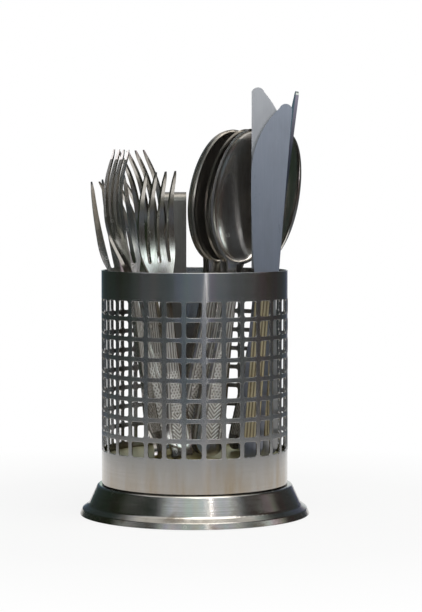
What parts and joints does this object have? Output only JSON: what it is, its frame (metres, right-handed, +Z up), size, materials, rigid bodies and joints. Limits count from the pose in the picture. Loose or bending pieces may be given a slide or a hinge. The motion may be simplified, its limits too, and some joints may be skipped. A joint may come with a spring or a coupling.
{
  "type": "cutlery holder",
  "caption": "Round stainless cutlery holder: a perforated sheet sleeve on a pressed, flared base, filled with knives, spoons, forks and strip tongs that lift out.",
  "frame": {"origin": "centre of the ring that the base stands on", "axes": "+Z up along the sleeve's axis, -Y towards the front, +X to the right as seen from the front"},
  "size_m": [0.1296, 0.1296, 0.2391],
  "materials": {
    "sleeve_steel": "satin",
    "base_steel": "polished",
    "spoon_steel": "polished",
    "fork_steel": "polished",
    "knife_steel": "satin"
  },
  "bodies": {
    "holder": {"pressed_base": "base_steel", "perforated_sleeve": "sleeve_steel"},
    "table_spoon_1": {"table_spoon_1": "spoon_steel"},
    "table_spoon_2": {"table_spoon_2": "spoon_steel"},
    "table_spoon_3": {"table_spoon_3": "spoon_steel"},
    "table_spoon_4": {"table_spoon_4": "spoon_steel"},
    "table_spoon_5": {"table_spoon_5": "spoon_steel"},
    "table_spoon_6": {"table_spoon_6": "spoon_steel"},
    "table_knife_1": {"table_knife_1": "knife_steel"},
    "table_knife_2": {"table_knife_2": "knife_steel"},
    "dessert_knife": {"dessert_knife": "knife_steel"},
    "table_fork_1": {"table_fork_1": "fork_steel"},
    "table_fork_2": {"table_fork_2": "fork_steel"},
    "dessert_fork_1": {"dessert_fork_1": "fork_steel"},
    "dessert_fork_2": {"dessert_fork_2": "fork_steel"},
    "dessert_fork_3": {"dessert_fork_3": "fork_steel"},
    "strip_tongs": {"strip_tongs": "fork_steel"}
  },
  "joints": [
    {"name": "table_spoon_1_lift", "type": "slide", "parent": "holder", "child": "table_spoon_1", "axis": [0.1372, 0.0588, 0.9888], "range_m": [0, 0.118]},
    {"name": "table_spoon_2_lift", "type": "slide", "parent": "holder", "child": "table_spoon_2", "axis": [0.1372, 0.0588, 0.9888], "range_m": [0, 0.118]},
    {"name": "table_spoon_3_lift", "type": "slide", "parent": "holder", "child": "table_spoon_3", "axis": [0.1372, 0.0588, 0.9888], "range_m": [0, 0.118]},
    {"name": "table_spoon_4_lift", "type": "slide", "parent": "holder", "child": "table_spoon_4", "axis": [0.1372, 0.0588, 0.9888], "range_m": [0, 0.118]},
    {"name": "table_spoon_5_lift", "type": "slide", "parent": "holder", "child": "table_spoon_5", "axis": [0.1372, 0.0588, 0.9888], "range_m": [0, 0.118]},
    {"name": "table_spoon_6_lift", "type": "slide", "parent": "holder", "child": "table_spoon_6", "axis": [0.1752, 0.073, 0.9818], "range_m": [0, 0.118]},
    {"name": "table_knife_1_lift", "type": "slide", "parent": "holder", "child": "table_knife_1", "axis": [0, 0, 1], "range_m": [0, 0.118]},
    {"name": "table_knife_2_lift", "type": "slide", "parent": "holder", "child": "table_knife_2", "axis": [0.1272, 0.0471, 0.9908], "range_m": [0, 0.118]},
    {"name": "dessert_knife_lift", "type": "slide", "parent": "holder", "child": "dessert_knife", "axis": [0.079, 0.0193, 0.9967], "range_m": [0, 0.118]},
    {"name": "table_fork_1_lift", "type": "slide", "parent": "holder", "child": "table_fork_1", "axis": [-0.1706, 0.0585, 0.9836], "range_m": [0, 0.118]},
    {"name": "table_fork_2_lift", "type": "slide", "parent": "holder", "child": "table_fork_2", "axis": [-0.0692, -0.0346, 0.997], "range_m": [0, 0.118]},
    {"name": "dessert_fork_1_lift", "type": "slide", "parent": "holder", "child": "dessert_fork_1", "axis": [-0.1035, 0.0345, 0.994], "range_m": [0, 0.118]},
    {"name": "dessert_fork_2_lift", "type": "slide", "parent": "holder", "child": "dessert_fork_2", "axis": [-0.2268, 0.0669, 0.9716], "range_m": [0, 0.118]},
    {"name": "dessert_fork_3_lift", "type": "slide", "parent": "holder", "child": "dessert_fork_3", "axis": [-0.1707, 0.0488, 0.9841], "range_m": [0, 0.118]},
    {"name": "strip_tongs_lift", "type": "slide", "parent": "holder", "child": "strip_tongs", "axis": [0, 0, 1], "range_m": [0, 0.118]}
  ]
}
